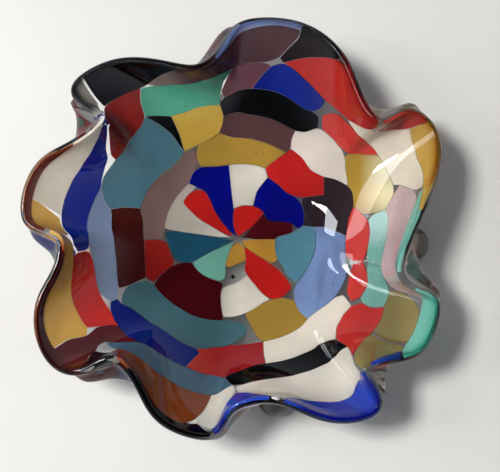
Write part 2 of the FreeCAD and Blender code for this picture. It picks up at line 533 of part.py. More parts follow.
def layer_band(height, last_share):
    return ring_surface(lambda direction, t: layer_point(direction,
                                                         between(HUB_SHARE, last_share, t), height),
                        WALL_SPANS).toShape()


def layer_cap(height):
    return cap(lambda direction: layer_point(direction, HUB_SHARE, height))


def edge_band(share, low, high):
    return ring_surface(lambda direction, t: layer_point(direction, share, between(low, high, t)),
                        1).toShape()


def lip_point(direction, t):
    point, normal, across = frame_at(direction, 1.0)
    angle = math.pi * t
    return point + normal * (LIP_RADIUS * math.cos(angle)) + across * (LIP_OVERHANG * math.sin(angle))


def make_lining():
    top = LIP_RADIUS
    bottom = LIP_RADIUS - LINING_THICKNESS
    last = 1.0 - LAYER_GAP / DISC_RADIUS
    return closed_solid([layer_band(top, last), layer_cap(top), edge_band(last, bottom, top),
                         layer_band(bottom, last), layer_cap(bottom)])


def make_casing():
    inside = TILE_TOP - TILE_THICKNESS - LAYER_GAP
    outside = ring_surface(lambda direction, t: outer_point(direction, between(HUB_SHARE, 1.0, t)),
                           WALL_SPANS)
    return closed_solid([layer_band(inside, 1.0), layer_cap(inside), edge_band(1.0, inside, LIP_RADIUS),
                         ring_surface(lip_point, LIP_SPANS).toShape(), outside.toShape(),
                         cap(lambda direction: outer_point(direction, HUB_SHARE))])


# ---------------------------------------------------------------- tiles
TILE_TOP = LIP_RADIUS - LINING_THICKNESS - LAYER_GAP


def spaced_outline(corners):
    """Corners joined by lines that are straight on a map of direction against radius."""
    points = []
    for i, (direction, radius) in enumerate(corners):
        next_direction, next_radius = corners[(i + 1) % len(corners)]
        turn = (next_direction - direction + 180.0) % 360.0 - 180.0
        length = math.dist(polar(direction, radius), polar(next_direction, next_radius))
        pieces = max(1, round(length / SAMPLE_STEP))
        for k in range(pieces):
            points.append(polar(direction + turn * k / pieces, between(radius, next_radius, k / pieces)))
    return points


def unit(a, b):
    length = math.dist(a, b)
    return (b[0] - a[0]) / length, (b[1] - a[1]) / length


def inset_outline(points):
    """Outline moved inwards by half a gap, with extra poles either side of each real corner."""
    count = len(points)
    area = sum(points[i - 1][0] * points[i][1] - points[i][0] * points[i - 1][1] for i in range(count))
    side = 1.0 if area > 0 else -1.0
    poles = []
    for i in range(count):
        before = unit(points[i - 1], points[i])
        after = unit(points[i], points[(i + 1) % count])
        normal = (-(before[1] + after[1]) * side, (before[0] + after[0]) * side)
        size = normal[0] ** 2 + normal[1] ** 2
        reach = TILE_GAP / max(size, SHARPEST_CORNER)
        x = points[i][0] + normal[0] * reach
        y = points[i][1] + normal[1] * reach
        turn = math.degrees(math.acos(max(-1.0, min(1.0, before[0] * after[0] + before[1] * after[1]))))
        if turn < CORNER_TURN:
            poles.append((x, y))
            continue
        cut_before = min(CORNER_CUT, CORNER_CUT_SHARE * math.dist(points[i - 1], points[i]))
        cut_after = min(CORNER_CUT, CORNER_CUT_SHARE * math.dist(points[i], points[(i + 1) % count]))
        poles.append((x - before[0] * cut_before, y - before[1] * cut_before))
        poles.append((x, y))
        poles.append((x + after[0] * cut_after, y + after[1] * cut_after))
    return poles


def outline_curve(poles):
    curve = Part.Geom2d.BSplineCurve2d()
    count = len(poles)
    vectors = [FreeCAD.Base.Vector2d(x, y) for x, y in poles]
    curve.buildFromPolesMultsKnots(vectors, [1] * (count + 1), [float(i) for i in range(count + 1)], True, 3)
    return curve


def local_patch(surface, poles):
    xs = [x for x, _ in poles]
    ys = [y for _, y in poles]
    patch = surface.copy()
    limit = DISC_HALF_SIDE
    patch.segment(max(min(xs) - PATCH_MARGIN, -limit), min(max(xs) + PATCH_MARGIN, limit),
                  max(min(ys) - PATCH_MARGIN, -limit), min(max(ys) + PATCH_MARGIN, limit))
    return patch


def make_tile(corners, top_surface, bottom_surface):
    poles = inset_outline(spaced_outline(corners))
    curve = outline_curve(poles)
    faces = []
    edges = []
    for surface in (top_surface, bottom_surface):
        patch = local_patch(surface, poles)
        edge = curve.toShape(patch)
        edges.append(edge)
        faces.append(Part.Face(patch, Part.Wire([edge])))
    faces.append(Part.makeRuledSurface(edges[0], edges[1]))
    return closed_solid(faces)


# ---------------------------------------------------------------- feet
def make_foot(direction, ball_distance, casing):
    """Blown toe: a ball on the table and a tapering root that is stuck to the outside of the wall."""
    x, y = polar(direction, 1.0)
    root_distance = ball_distance - FOOT_SPLAY
    ball = FreeCAD.Vector(x * ball_distance, y * ball_distance, FOOT_BALL_HEIGHT)
    root = FreeCAD.Vector(x * root_distance, y * root_distance, FOOT_ROOT_HEIGHT)
    axis = root - ball
    length = axis.Length
    tilt = math.asin((FOOT_BALL_RADIUS - FOOT_ROOT_RADIUS) / length)
    start = FOOT_BALL_RADIUS * math.sin(tilt)
    finish = length + FOOT_ROOT_RADIUS * math.sin(tilt)
    shoulder = FreeCAD.Vector(FOOT_BALL_RADIUS * math.cos(tilt), 0, start)
    neck = FreeCAD.Vector(FOOT_ROOT_RADIUS * math.cos(tilt), 0, finish)
    low = FreeCAD.Vector(0, 0, -FOOT_BALL_RADIUS)
    middle_angle = (tilt - math.pi / 2) / 2
    middle = FreeCAD.Vector(FOOT_BALL_RADIUS * math.cos(middle_angle), 0,
                            FOOT_BALL_RADIUS * math.sin(middle_angle))
    top = FreeCAD.Vector(0, 0, finish)
    outline = Part.Wire([Part.Arc(low, middle, shoulder).toShape(), Part.makeLine(shoulder, neck),
                         Part.makeLine(neck, top), Part.makeLine(top, low)])
    toe = Part.Face(outline).revolve(FreeCAD.Vector(), FreeCAD.Vector(0, 0, 1), 360)
    toe.Placement = FreeCAD.Placement(ball, FreeCAD.Rotation(FreeCAD.Vector(0, 0, 1), axis))
    side = 2 * TABLE_HALF_SIDE
    corner = FreeCAD.Vector(-TABLE_HALF_SIDE, -TABLE_HALF_SIDE, -TABLE_DEPTH)
    below = Part.makeBox(side, side, TABLE_DEPTH, corner)
    pieces = toe.cut(below).cut(casing).Solids
    return min(pieces, key=lambda piece: piece.CenterOfMass.z)


# ---------------------------------------------------------------- build and write
def main():
    os.makedirs("parts", exist_ok=True)
    casing = make_casing()
    nodes = {"outer_casing": casing, "inner_lining": make_lining()}
    for name, (direction, ball_distance) in FEET.items():
        nodes[name] = make_foot(direction, ball_distance, casing)
    top_surface = disc_surface(TILE_TOP)
    bottom_surface = disc_surface(TILE_TOP - TILE_THICKNESS)
    for name, outlines in TILES.items():
        solids = [make_tile(corners, top_surface, bottom_surface) for corners in outlines]
        nodes[name] = solids[0] if len(solids) == 1 else Part.Compound(solids)
    box = Part.Compound(list(nodes.values())).optimalBoundingBox(True, False)
    shift = FreeCAD.Vector(-box.Center.x, -box.Center.y, 0)
    for name, shape in nodes.items():
        shape.translate(shift)
        shape.exportStep("parts/" + name + ".step")
        print(name, len(shape.Solids), shape.isValid(), round(shape.Volume / 1000, 2))
    print("box", Part.Compound(list(nodes.values())).optimalBoundingBox(True, False))


main()
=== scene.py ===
import bpy
import bmesh
import math
import numpy as np
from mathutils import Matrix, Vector, kdtree


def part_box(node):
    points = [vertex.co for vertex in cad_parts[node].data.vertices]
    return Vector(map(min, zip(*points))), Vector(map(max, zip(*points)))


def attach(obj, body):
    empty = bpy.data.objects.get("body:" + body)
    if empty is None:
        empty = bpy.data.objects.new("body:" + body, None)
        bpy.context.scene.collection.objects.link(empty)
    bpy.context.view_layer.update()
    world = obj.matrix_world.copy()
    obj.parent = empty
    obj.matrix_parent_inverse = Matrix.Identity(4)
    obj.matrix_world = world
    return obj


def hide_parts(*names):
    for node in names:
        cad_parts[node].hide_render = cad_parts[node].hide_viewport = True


# Ruffled patchwork glass bowl.  The coloured tiles are the CAD solids; the clear glass around them and
# the feet are rebuilt here as refracting glass.  Shape numbers are millimetres, Blender is in metres.

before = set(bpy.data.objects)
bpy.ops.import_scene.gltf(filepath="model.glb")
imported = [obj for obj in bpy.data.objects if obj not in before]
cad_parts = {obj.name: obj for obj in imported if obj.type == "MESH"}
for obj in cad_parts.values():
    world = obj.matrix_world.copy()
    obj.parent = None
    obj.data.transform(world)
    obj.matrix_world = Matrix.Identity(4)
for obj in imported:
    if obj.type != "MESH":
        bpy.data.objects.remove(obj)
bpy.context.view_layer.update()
MM = 0.001

# ---------------------------------------------------------------- the slumped disc
FLAT_RADIUS = 50.0
WALL_ARC_RADIUS = 136.0
WALL_ARC_ANGLE = math.radians(60.0)
FLOOR_HEIGHT = 22.0
RUFFLE_START = 0.34
LIP_RADIUS = 3.2
LIP_OVERHANG = 2.2
CASING_BASE_THICKNESS = 8.0
CASING_WALL_THICKNESS = 5.0
CASING_BASE_SHARE = 0.3     # base thickness up to this share of the way to the lip,
CASING_WALL_SHARE = 0.6     # wall thickness from here,
LIP_TAPER_SHARE = 0.2       # and a taper to the lip over this last share
DISC_RADIUS = FLAT_RADIUS + WALL_ARC_RADIUS * WALL_ARC_ANGLE
NUDGE = 0.001               # steps over which the slopes of the wall are taken
TURN = 0.05
BULGE_CENTRE = 0.87
BULGE_REACH = 0.30
# Clear glass outside each notch: direction, how far it stands out, half width
BULGES = ((36.4, 32.0, 10.5), (92.9, 27.0, 10.2), (143.4, 36.0, 9.6), (184.1, 21.0, 10.4),
          (228.4, 24.0, 10.4), (264.6, 17.5, 10.4), (312.0, 34.0, 7.3), (346.0, 30.0, 10.6))
# Middle of the lip bead, lobe by lobe: direction, radius, height
LOBES = (
    ((343, 143, 97), (354, 143, 95), (8, 161, 91), (19, 182, 86), (29, 191, 82), (35, 180, 86)),
    ((37, 152, 95), (46, 154, 93), (58, 175, 89), (70, 189, 85), (80, 190, 82), (90, 181, 83),
     (95, 159, 90)),
    ((104, 143, 96), (113, 154, 94), (123, 176, 89), (132, 189, 84), (139, 190, 82), (141, 172, 87)),
    ((141, 151, 96), (152, 157, 94), (161, 177, 89), (170, 185, 84), (178, 181, 82), (181, 166, 88)),
    ((185, 150, 96), (193, 156, 94), (200, 176, 89), (208, 190, 84), (218, 191, 82), (223, 177, 87)),
    ((227, 152, 96), (236, 153, 94), (246, 170, 90), (257, 177, 85), (264, 173, 83), (267, 156, 89)),
    ((272, 147, 96), (282, 148, 94), (291, 166, 90), (299, 184, 85), (308, 190, 82), (310, 177, 87)),
    ((311, 160, 95), (318, 168, 93), (325, 183, 88), (334, 184, 84), (340, 178, 82), (341, 160, 89)),
)
BEAD_POINTS = 13
FOOT_BALL_RADIUS = 16.0
FOOT_BALL_HEIGHT = 14.5
FOOT_ROOT_HEIGHT = 50.0
FOOT_SPLAY = 34.0           # the root sits this much nearer the middle than the ball
FOOT_ROOT_PAST = 12.0       # and the glass runs on this far past it
FOOT_WAIST = 1.2
FOOT_FLARE = 6.0
FOOT_SINK = 1.5             # how far a foot is pressed into the wall
FOOT_PAD_EDGE = 1.0         # softened height of the edge of a pad
FOOT_RINGS = 50
FOOT_SIDES = 64
# Feet: direction, and distance of the ball from the middle
FEET = {"foot_east": (359.0, 160.0), "foot_north": (105.0, 150.0),
        "foot_west": (188.0, 150.0), "foot_south": (283.0, 147.0)}


class ClosedSpline:
    """Closed cubic spline through points, with 360 degrees shared out along its length."""

    def __init__(self, points):
        self.points = np.array(points, float)
        after = np.linalg.norm(np.roll(self.points, -1, 0) - self.points, axis=1)
        after *= 360.0 / after.sum()
        before = np.roll(after, 1)
        rise = (np.roll(self.points, -1, 0) - self.points) / after[:, None]
        count = len(points)
        system = np.zeros((count, count))
        for i in range(count):
            system[i, i] = 2 * (before[i] + after[i])
            system[i, i - 1] = after[i]
            system[i, (i + 1) % count] = before[i]
        target = 3 * (after[:, None] * np.roll(rise, 1, 0) + before[:, None] * rise)
        self.slopes = np.linalg.solve(system, target)
        self.steps = after
        self.starts = np.concatenate([[0.0], np.cumsum(after)[:-1]])
        self.turn = 0.0
        directions = np.arange(360.0)
        sample = self(directions)
        lead = np.degrees(np.arctan2(sample[:, 1], sample[:, 0])) - directions
        self.turn = float(((lead + 180.0) % 360.0 - 180.0).mean())

    def __call__(self, direction):
        place = (np.asarray(direction, float) - self.turn) % 360.0
        i = np.searchsorted(self.starts, place, side="right") - 1
        j = (i + 1) % len(self.points)
        step = self.steps[i][:, None]
        t = (place[:, None] - self.starts[i][:, None]) / step
        return ((1 + 2 * t) * (1 - t) ** 2 * self.points[i] + t * (1 - t) ** 2 * step * self.slopes[i]
                + t * t * (3 - 2 * t) * self.points[j] + t * t * (t - 1) * step * self.slopes[j])


LIP = ClosedSpline([(r * math.cos(math.radians(d)), r * math.sin(math.radians(d)), z)
                    for lobe in LOBES for d, r, z in lobe])


def wall(share):
    """Radius and height of the plain body, before it is ruffled."""
    distance = share * DISC_RADIUS
    angle = np.maximum(0.0, distance - FLAT_RADIUS) / WALL_ARC_RADIUS
    radius = np.where(distance <= FLAT_RADIUS, distance, FLAT_RADIUS + WALL_ARC_RADIUS * np.sin(angle))
    return radius, FLOOR_HEIGHT + WALL_ARC_RADIUS * (1 - np.cos(angle))


TOP_RADIUS, TOP_HEIGHT = (float(v) for v in wall(np.array(1.0)))


def bed(direction, share):
    """Bed of the tiles for every direction and every share of the way to the lip."""
    radius, height = wall(share)
    angle = np.radians(direction)
    lip = LIP(direction)
    body_top = np.stack([TOP_RADIUS * np.cos(angle), TOP_RADIUS * np.sin(angle),
                         np.full_like(angle, TOP_HEIGHT)], 1)
    ruffle = np.maximum(0.0, (share - RUFFLE_START) / (1 - RUFFLE_START)) ** 2
    plain = np.stack([np.outer(np.cos(angle), radius), np.outer(np.sin(angle), radius),
                      np.outer(np.ones_like(angle), height)], 2)
    return plain + ruffle[None, :, None] * (lip - body_top)[:, None, :]


def unit(vectors):
    return vectors / np.linalg.norm(vectors, axis=-1, keepdims=True)


def surface_frame(direction, share):
    """Points of the bed, normals into the bowl and tangents towards the lip."""
    share = np.clip(share, 2 * NUDGE, 1.0)
    point = bed(direction, share)
    along = bed(direction + TURN, share) - bed(direction - TURN, share)
    outward = bed(direction, share + NUDGE) - bed(direction, share - NUDGE)
    normal = unit(np.cross(outward, along))
    return point, normal, unit(np.cross(along, normal))


def inner_surface(direction, share):
    """Inside of the bowl."""
    point, normal, _ = surface_frame(direction, share)
    return point + normal * LIP_RADIUS


def outer_surface(direction, share):
    """Outside of the bowl, with the clear bulge in each notch."""
    point, normal, _ = surface_frame(direction, share)
    fall = np.minimum(1.0, (1.0 - share) / LIP_TAPER_SHARE)
    depth = LIP_RADIUS + (CASING_WALL_THICKNESS - LIP_RADIUS) * fall
    low = np.clip((CASING_WALL_SHARE - share) / (CASING_WALL_SHARE - CASING_BASE_SHARE), 0.0, 1.0)
    depth = depth + (CASING_BASE_THICKNESS - CASING_WALL_THICKNESS) * low
    point = point - normal * depth[None, :, None]
    near = np.where(share < BULGE_CENTRE, (share - BULGE_CENTRE) / BULGE_REACH,
                    (share - BULGE_CENTRE) / (1.0 - BULGE_CENTRE))
    rise = np.where(np.abs(near) < 1.0, (1.0 - near * near) ** 2, 0.0)
    size = np.zeros_like(direction)
    for centre, reach, half_width in BULGES:
        away = ((direction - centre + 180.0) % 360.0 - 180.0) / half_width
        size += reach * np.exp(-away * away)
    flat = point.copy()
    flat[..., 2] = 0.0
    return point + unit(flat) * (size[:, None] * rise[None, :])[..., None]


def lip_bead(direction, angles):
    """Rounded lip, from the inside over the edge to the outside."""
    point, normal, across = surface_frame(direction, np.array([1.0]))
    return (point + normal * (LIP_RADIUS * np.cos(angles))[None, :, None]
            + across * (LIP_OVERHANG * np.sin(angles))[None, :, None])


# ---------------------------------------------------------------- meshes
# The CAD centres the bowl on its box, so the same formulas are moved to the middle of the CAD casing.
casing_low, casing_high = (np.array(corner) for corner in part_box("outer_casing"))
all_round = np.arange(0, 360, 0.25)
wall_sample = outer_surface(all_round, np.linspace(0.3, 1.0, 60)).reshape(-1, 3)
lip_sample = lip_bead(all_round, np.linspace(0, math.pi, BEAD_POINTS)).reshape(-1, 3)
sample = np.concatenate([wall_sample, lip_sample])
SHIFT = (casing_low + casing_high)[:2] / 2 / MM - (sample.min(0) + sample.max(0))[:2] / 2


def to_scene(points):
    """Millimetres of the formulas to metres of the scene."""
    moved = np.array(points, float)
    moved[..., :2] += SHIFT
    return moved * MM


def new_mesh(name, points, faces):
    """Smooth mesh piece with its faces turned outwards."""
    mesh = bpy.data.meshes.new(name)
    mesh.from_pydata([tuple(p) for p in points], [], faces)
    mesh.update()
    bm = bmesh.new()
    bm.from_mesh(mesh)
    bmesh.ops.recalc_face_normals(bm, faces=bm.faces)
    bm.to_mesh(mesh)
    bm.free()
    mesh.polygons.foreach_set("use_smooth", [True] * len(mesh.polygons))
    thing = bpy.data.objects.new(name, mesh)
    bpy.context.collection.objects.link(thing)
    return thing


def tube_faces(rings, count):
    """Faces between closed rings of points."""
    faces = []
    for k in range(rings - 1):
        for i in range(count):
            j = (i + 1) % count
            faces.append((k * count + i, k * count + j, (k + 1) * count + j, (k + 1) * count + i))
    return faces


def linear(code):
    """Linear colour from a hex code."""
    values = [int(code[i:i + 2], 16) / 255 for i in (0, 2, 4)]
    return [v / 12.92 if v <= 0.04045 else ((v + 0.055) / 1.055) ** 2.4 for v in values] + [1.0]


# The coloured glass runs out into the lip: direction where a strip starts and stops, and its colour.
CLEAR_TINT = "fbfcfb"
LIP_COLOUR_START = 0.965
LIP_STRIPS = ((12, 36, "c8a048"), (42, 57, "c03028"), (57, 72, "503038"), (72, 98, "7080a4"),
              (98, 108, "604448"), (108, 143, "28282c"), (154, 183, "a8683c"), (188, 224, "84382c"),
              (236, 261, "242226"), (262, 268, "4050b0"), (284, 311, "3c58c0"), (318, 341, "70c4b4"))

AROUND = 600
WALL_RINGS = 76
FIRST_SHARE = 0.03          # the innermost ring, closed with a flat fan
RING_CROWDING = 1.15        # rings stand closer together near the lip
LIP_COLOUR_BLURS = 3
directions = np.arange(AROUND) * 360.0 / AROUND


def glass_body():
    """One closed clear body: inside, rounded lip and outside, with the notch masses."""
    shares = 1.0 - (1.0 - np.linspace(FIRST_SHARE, 1.0, WALL_RINGS)) ** RING_CROWDING
    shares = np.sort(np.clip(shares, FIRST_SHARE, 1.0))
    inside = inner_surface(directions, shares)
    bead = lip_bead(directions, np.linspace(0, math.pi, BEAD_POINTS)[1:-1])
    outside = outer_surface(directions, shares[::-1])
    rows = np.concatenate([inside, bead, outside], 1).transpose(1, 0, 2)
    points = to_scene(rows.reshape(-1, 3))
    rings = rows.shape[0]
    faces = tube_faces(rings, AROUND)
    middle = to_scene(np.array([[0, 0, FLOOR_HEIGHT + LIP_RADIUS],
                                [0, 0, FLOOR_HEIGHT - CASING_BASE_THICKNESS]]))
    points = np.concatenate([points, middle])
    top, bottom = len(points) - 2, len(points) - 1
    last = (rings - 1) * AROUND
    for i in range(AROUND):
        j = (i + 1) % AROUND
        faces.append((top, j, i))
        faces.append((bottom, last + i, last + j))
    thing = new_mesh("glass_body", points, faces)
    lip_colour = thing.data.color_attributes.new("lip_colour", "FLOAT_COLOR", "POINT")
    share_of_row = np.concatenate([shares, np.full(bead.shape[1], 1.0), shares[::-1]])
    strength = np.clip((share_of_row - LIP_COLOUR_START) / (1.0 - LIP_COLOUR_START), 0.0, 1.0)
    clear = np.array(linear(CLEAR_TINT))
    values = np.empty((len(points), 4))
    values[:] = clear
    around = lip_colours(directions)
    values[:rings * AROUND] = (clear + strength[:, None, None] * (around[None] - clear)).reshape(-1, 4)
    lip_colour.data.foreach_set("color", values.ravel())
    return thing


def lip_colours(direction):
    """Colour of the lip glass in every direction, softened where one tile gives way to the next."""
    colours = np.empty((len(direction), 4))
    colours[:] = linear(CLEAR_TINT)
    for start, stop, code in LIP_STRIPS:
        inside = (direction - start) % 360.0 <= (stop - start) % 360.0
        colours[inside] = linear(code)
    for _ in range(LIP_COLOUR_BLURS):
        colours = (np.roll(colours, 1, 0) + colours + np.roll(colours, -1, 0)) / 3
    return colours


def foot_blob(name, direction, distance):
    """Hot glass pressed on the wall and drawn down to a ball."""
    angle = math.radians(direction)
    out = np.array([math.cos(angle), math.sin(angle), 0.0])
    ball = out * distance + np.array([0, 0, FOOT_BALL_HEIGHT])
    root = out * (distance - FOOT_SPLAY) + np.array([0, 0, FOOT_ROOT_HEIGHT])
    axis = root - ball
    length = np.linalg.norm(axis)
    axis /= length
    side = np.cross(axis, out)
    side /= np.linalg.norm(side)
    front = np.cross(side, axis)
    turns = np.linspace(0, 2 * math.pi, FOOT_SIDES, endpoint=False)
    rows = []
    for t in np.linspace(-1.0, 1.0, FOOT_RINGS):
        if t < 0:
            reach = -FOOT_BALL_RADIUS * math.cos((t + 1) * math.pi / 2)
            radius = FOOT_BALL_RADIUS * math.sin((t + 1) * math.pi / 2)
        else:
            reach = t * (length + FOOT_ROOT_PAST)
            radius = FOOT_BALL_RADIUS - FOOT_WAIST * math.sin(t * math.pi) + FOOT_FLARE * t * t
        radius = max(radius, 0.05)
        middle = ball + axis * reach
        rows.append([middle + (side * math.cos(a) + front * math.sin(a)) * radius for a in turns])
    points = np.array(rows).reshape(-1, 3)
    for i, point in enumerate(points):
        spot = wall_tree.find(point)[1]
        gap = float(np.dot(point - wall_points[spot], wall_normals[spot]))
        if gap < -FOOT_SINK:
            points[i] = point + wall_normals[spot] * (-FOOT_SINK - gap)
    height = points[:, 2]
    pressed = FOOT_PAD_EDGE * (1.0 - np.sqrt(np.maximum(0.0, 1.0 - height / FOOT_PAD_EDGE)))
    points[:, 2] = np.where(height < FOOT_PAD_EDGE, np.maximum(0.0, pressed), height)
    faces = tube_faces(FOOT_RINGS, FOOT_SIDES)
    faces.append(tuple(range(FOOT_SIDES)))
    faces.append(tuple(range((FOOT_RINGS - 1) * FOOT_SIDES, FOOT_RINGS * FOOT_SIDES)))
    return new_mesh(name, to_scene(points), faces)


# Points of the outside of the wall with their normals, so that a foot can be laid against it.
tree_directions = np.arange(0.0, 360.0, 1.0)
tree_shares = np.linspace(0.3, 0.98, 60)
wall_grid = outer_surface(tree_directions, tree_shares)
grid_along = np.roll(wall_grid, -1, 0) - np.roll(wall_grid, 1, 0)
grid_out = np.gradient(wall_grid, axis=1)
wall_normals = -unit(np.cross(grid_out, grid_along)).reshape(-1, 3)
wall_points = wall_grid.reshape(-1, 3)
wall_tree = kdtree.KDTree(len(wall_points))
for number, spot in enumerate(wall_points):
    wall_tree.insert(Vector(spot), number)
wall_tree.balance()

body = glass_body()
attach(body, "root")
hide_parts("outer_casing", "inner_lining")
feet = []
for foot_name, (foot_direction, foot_distance) in FEET.items():
    foot = foot_blob("glass_" + foot_name, foot_direction, foot_distance)
    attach(foot, "root")
    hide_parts(foot_name)
    feet.append(foot)


# Air bubbles in the lining, and a dark fleck in the clear gap near the middle: direction and radius
# on the pattern disc and size, and for the fleck the turn of each grain.
BUBBLES = [(334, 96, 1.1), (110, 139, 1.2), (78, 82, 0.9), (74, 84, 0.6), (96, 118, 0.8), (60, 128, 0.7),
           (150, 112, 0.7), (171, 158, 1.0), (262, 118, 0.9), (352, 60, 0.9), (8, 62, 0.6), (300, 70, 0.7),
           (98, 176, 0.9), (24, 148, 0.9), (32, 160, 0.6), (283, 132, 0.7), (330, 150, 0.6),
           (228, 110, 0.6)]
SEEDS = 40                  # smaller bubbles, spread evenly by the golden angle
SEED_TURN = 137.5
SEED_START = 30.0
SEED_SPREAD = 150.0
FLATNESS = 0.42
MOST_HALF_DEPTH = 0.45      # a bubble stays inside the lining
FLECK_HEIGHT = 0.8
FLECKS = [(262, 34, 2.4, 20), (264.5, 35, 1.7, 75), (260, 35, 1.5, 130), (262.5, 36, 1.6, 50)]


def pebble(bm, direction, radius, size, height, stretch=1.0, turn=0.0):
    """Small flattened ball at a height above the tile bed."""
    share = np.array([radius / DISC_RADIUS])
    point, normal, across = surface_frame(np.array([float(direction)]), share)
    centre = point[0, 0] + normal[0, 0] * height
    along = np.cross(normal[0, 0], across[0, 0])
    first = across[0, 0] * math.cos(turn) + along * math.sin(turn)
    other = np.cross(normal[0, 0], first)
    ball = bmesh.ops.create_icosphere(bm, subdivisions=2, radius=1.0)
    for vert in ball["verts"]:
        x, y, z = vert.co
        flat = first * x * size * stretch + other * y * size
        deep = normal[0, 0] * z * min(MOST_HALF_DEPTH, size * FLATNESS)
        vert.co = to_scene(centre + flat + deep)


def pebbles(name, rows):
    """One piece of many small flattened balls."""
    bm = bmesh.new()
    for row in rows:
        pebble(bm, **row)
    mesh = bpy.data.meshes.new(name)
    bm.to_mesh(mesh)
    bm.free()
    mesh.polygons.foreach_set("use_smooth", [True] * len(mesh.polygons))
    thing = bpy.data.objects.new(name, mesh)
    bpy.context.collection.objects.link(thing)
    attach(thing, "root")
    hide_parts("inner_lining")
    return thing


LINING_MIDDLE = LIP_RADIUS - 0.58   # the lining is 1.15 thick
bubble_rows = [dict(direction=d, radius=r, size=size, height=LINING_MIDDLE) for d, r, size in BUBBLES]
for count in range(SEEDS):
    seed_radius = SEED_START + SEED_SPREAD * math.sqrt((count + 0.5) / SEEDS)
    bubble_rows.append(dict(direction=count * SEED_TURN % 360.0, radius=seed_radius,
                            size=0.28 + 0.08 * (count % 4), height=LINING_MIDDLE))
bubbles = pebbles("air_bubbles", bubble_rows)
fleck_rows = [dict(direction=d, radius=r, size=size * 0.45, height=FLECK_HEIGHT, stretch=1.4,
                   turn=math.radians(turn)) for d, r, size, turn in FLECKS]
fleck = pebbles("dark_fleck", fleck_rows)


# ---------------------------------------------------------------- materials
TILE_ROUGHNESS = 0.35
SEED_SCALE = 190.0          # fine seeds in the coloured glass
SEED_STRENGTH = 0.25
RIPPLE_SCALE = 22.0
RIPPLE_STRENGTH = 0.35
GLASS_INDEX = 1.5
GLASS_ROUGHNESS = 0.0       # fire-polished
AIR_INDEX = 0.667           # air seen from inside glass


def start_material(name):
    """New material with its tree and its shader."""
    material = bpy.data.materials.new(name)
    material.use_nodes = True
    tree = material.node_tree
    shader = tree.nodes["Principled BSDF"]
    return material, tree, shader


def add(tree, kind, **inputs):
    """New node; an underscore in an input's name stands for a space."""
    node = tree.nodes.new(kind)
    for key, value in inputs.items():
        node.inputs[key.replace("_", " ")].default_value = value
    return node


def coordinates(tree, stretch, turn):
    """Object coordinates in metres, stretched and turned."""
    place = tree.nodes.new("ShaderNodeTexCoord")
    mapping = add(tree, "ShaderNodeMapping", Scale=stretch, Rotation=(0, 0, math.radians(turn)))
    tree.links.new(place.outputs["Object"], mapping.inputs["Vector"])
    return mapping.outputs["Vector"]


def ramp_of(tree, factor, stops):
    ramp = tree.nodes.new("ShaderNodeValToRGB")
    elements = ramp.color_ramp.elements
    while len(elements) < len(stops):
        elements.new(0.5)
    for element, (place, colour) in zip(elements, stops):
        element.position = place
        element.color = linear(colour)
    tree.links.new(factor, ramp.inputs["Fac"])
    return ramp.outputs["Color"]


def shaded(code, gain):
    """The same colour, lighter or darker."""
    values = [min(1.0, v * gain) for v in linear(code)[:3]]
    return values + [1.0]


def two_tone(tree, factor, colour, spread):
    """One colour that drifts a little darker and lighter."""
    ramp = tree.nodes.new("ShaderNodeValToRGB")
    for element, place, gain in zip(ramp.color_ramp.elements, (0.32, 0.70), (1 - spread, 1 + spread)):
        element.position = place
        element.color = shaded(colour, gain)
    tree.links.new(factor, ramp.inputs["Fac"])
    return ramp.outputs["Color"]


def mixed(tree, factor, first, second, mode="MIX"):
    """Two colours mixed by a number or by a socket."""
    mix = tree.nodes.new("ShaderNodeMix")
    mix.data_type = "RGBA"
    mix.blend_type = mode
    if isinstance(factor, float):
        mix.inputs["Factor"].default_value = factor
    else:
        tree.links.new(factor, mix.inputs["Factor"])
    tree.links.new(first, mix.inputs["A"])
    tree.links.new(second, mix.inputs["B"])
    return mix.outputs["Result"]


def tile_material(name, colour, spread=0.14, scale=16.0, stretch=(1, 1, 1), turn=0.0, warp=0.6,
                  second=None, across=None):
    """Opaque coloured glass: a body colour that drifts, fine seeds, and in some tiles a second colour,
    which in a few tiles is painted light, shade or reflection on one glass.
    """
    material, tree, shader = start_material(name)
    place = coordinates(tree, stretch, turn)
    drift = add(tree, "ShaderNodeTexNoise", Scale=scale, Detail=2.0, Roughness=0.45, Distortion=warp)
    tree.links.new(place, drift.inputs["Vector"])
    result = two_tone(tree, drift.outputs["Fac"], colour, spread)
    if second:
        axis, start, stop = across
        part = tree.nodes.new("ShaderNodeTexCoord")
        split = tree.nodes.new("ShaderNodeSeparateXYZ")
        tree.links.new(part.outputs["Object"], split.inputs["Vector"])
        span = add(tree, "ShaderNodeMapRange", From_Min=start, From_Max=stop)
        tree.links.new(split.outputs[axis], span.inputs["Value"])
        other = two_tone(tree, drift.outputs["Fac"], second, spread)
        result = mixed(tree, span.outputs["Result"], result, other)
    fine = add(tree, "ShaderNodeTexVoronoi", Scale=SEED_SCALE, Randomness=1.0)
    tree.links.new(place, fine.inputs["Vector"])
    seed = ramp_of(tree, fine.outputs["Distance"], [(0.05, "9a9a9a"), (0.11, "ffffff")])
    result = mixed(tree, SEED_STRENGTH, result, seed, "MULTIPLY")
    tree.links.new(result, shader.inputs["Base Color"])
    shader.inputs["Roughness"].default_value = TILE_ROUGHNESS
    shader.inputs["Specular IOR Level"].default_value = 0.0
    return material


